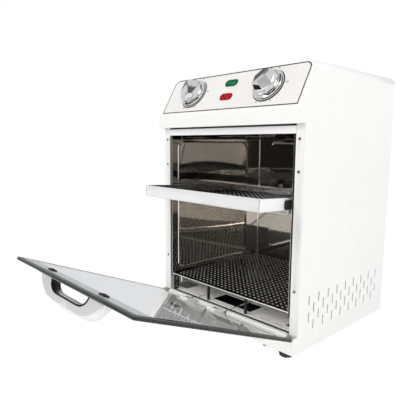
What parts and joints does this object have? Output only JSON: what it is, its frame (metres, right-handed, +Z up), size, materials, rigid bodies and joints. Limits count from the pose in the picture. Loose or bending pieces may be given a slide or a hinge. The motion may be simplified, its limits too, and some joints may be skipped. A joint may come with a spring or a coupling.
{
  "type": "reflow oven",
  "caption": "Upright benchtop convection oven (reflow oven) with a drop-down glass door, sliding tray, sloped control panel, rotary knobs and indicator lamps.",
  "frame": {"origin": "on the surface the feet stand on, under the middle of the whole oven with its door open", "axes": "+Z up, +Y towards the back of the oven, -Y towards the user, +X to the user's right"},
  "size_m": [0.3, 0.5452, 0.418],
  "materials": {
    "cabinet_paint": "satin powder coat, warm white",
    "fascia_paint": "satin, slightly warmer than the casing",
    "bright_strip": "brushed along its length",
    "polished_lining": "mirror-polished stainless sheet that reads dark",
    "dark_floor": "dark polished perforated sheet",
    "black_steel": "satin black",
    "steel_wire": "bright plated wire",
    "heater_sheath": "heat-darkened sheath",
    "ceramic": "unglazed white",
    "zinc_sheet": "galvanised sheet",
    "fan_alloy": "mill finish",
    "motor_steel": "grey lacquered laminations",
    "black_plastic": "moulded black",
    "shaft_steel": "zinc plated",
    "knob_chrome": "bright plated, facets polished",
    "green_lens": "translucent green",
    "red_lens": "translucent red",
    "foot_rubber": "matte black",
    "door_glass": "clear tempered, dark green edges",
    "white_plastic": "white",
    "handle_silver": "silver-white lacquer",
    "tray_steel": "bright sheet"
  },
  "bodies": {
    "oven": {"outer_cover": "cabinet_paint", "control_panel": "cabinet_paint", "panel_fascia": "fascia_paint", "left_post": "cabinet_paint", "right_post": "cabinet_paint", "top_strip": "bright_strip", "base_front": "cabinet_paint", "base_deck": "cabinet_paint", "bottom_plate": "cabinet_paint", "back_cover": "cabinet_paint", "lining_left": "polished_lining", "lining_right": "polished_lining", "lining_back": "polished_lining", "lining_top": "polished_lining", "perforated_floor": "dark_floor", "floor_posts": "black_steel", "tray_runners": "steel_wire", "heater": "heater_sheath", "heater_insulators": "ceramic", "fan_guard": "steel_wire", "fan_housing": "zinc_sheet", "motor": "motor_steel", "thermostat_body": "black_plastic", "thermostat_bulb": "zinc_sheet", "timer_body": "black_plastic", "shaft_nuts": "shaft_steel", "green_lens": "green_lens", "red_lens": "red_lens", "lamp_holders": "black_plastic", "terminal_block": "ceramic", "cord_gland": "black_plastic", "feet": "foot_rubber", "post_screws": "shaft_steel", "back_screws": "shaft_steel", "base_screws": "shaft_steel", "hinge_rod": "steel_wire", "hinge_brackets": "cabinet_paint", "hinge_tubes": "cabinet_paint", "spring_anchors": "white_plastic", "door_springs": "steel_wire"},
    "door": {"door_glass": "door_glass", "door_tube": "cabinet_paint", "door_arms": "cabinet_paint", "door_pads": "shaft_steel", "handle_base": "handle_silver", "handle": "handle_silver", "handle_liner": "black_plastic", "handle_caps": "black_plastic"},
    "tray": {"tray": "tray_steel", "tray_pads": "black_plastic"},
    "rack": {"tray_rack": "steel_wire"},
    "fan": {"fan_rotor": "fan_alloy", "cooling_fan": "black_steel"},
    "thermostat_dial": {"thermostat_shaft": "shaft_steel", "thermostat_knob": "knob_chrome"},
    "timer_dial": {"timer_shaft": "shaft_steel", "timer_knob": "knob_chrome"}
  },
  "joints": [
    {"name": "door_hinge", "type": "hinge", "parent": "oven", "child": "door", "pos_m": [0, -0.00017, 0.032], "axis": [-1, 0, 0], "range_deg": [0, 67.7], "deforming": ["door_springs"]},
    {"name": "tray_slide", "type": "slide", "parent": "oven", "child": "tray", "axis": [0, 0.9988, -0.0489], "range_m": [0, 0.0636]},
    {"name": "rack_lift", "type": "slide", "parent": "tray", "child": "rack", "axis": [0, 0.0489, 0.9988], "range_m": [0, 0.03]},
    {"name": "fan_spin", "type": "hinge", "parent": "oven", "child": "fan", "pos_m": [0, 0.14063, 0.352], "axis": [0, 0, 1], "continuous": true},
    {"name": "thermostat_turn", "type": "hinge", "parent": "oven", "child": "thermostat_dial", "pos_m": [-0.079, 0.01063, 0.38821], "axis": [0, -0.8695, 0.4939], "range_deg": [-270, 0]},
    {"name": "timer_turn", "type": "hinge", "parent": "oven", "child": "timer_dial", "pos_m": [0.079, 0.01063, 0.38821], "axis": [0, -0.8695, 0.4939], "range_deg": [-300, 0]}
  ],
  "couplings": [
    {"joint": "tray_slide", "follows": "door_hinge", "m_per_rad": 0.053825}
  ]
}
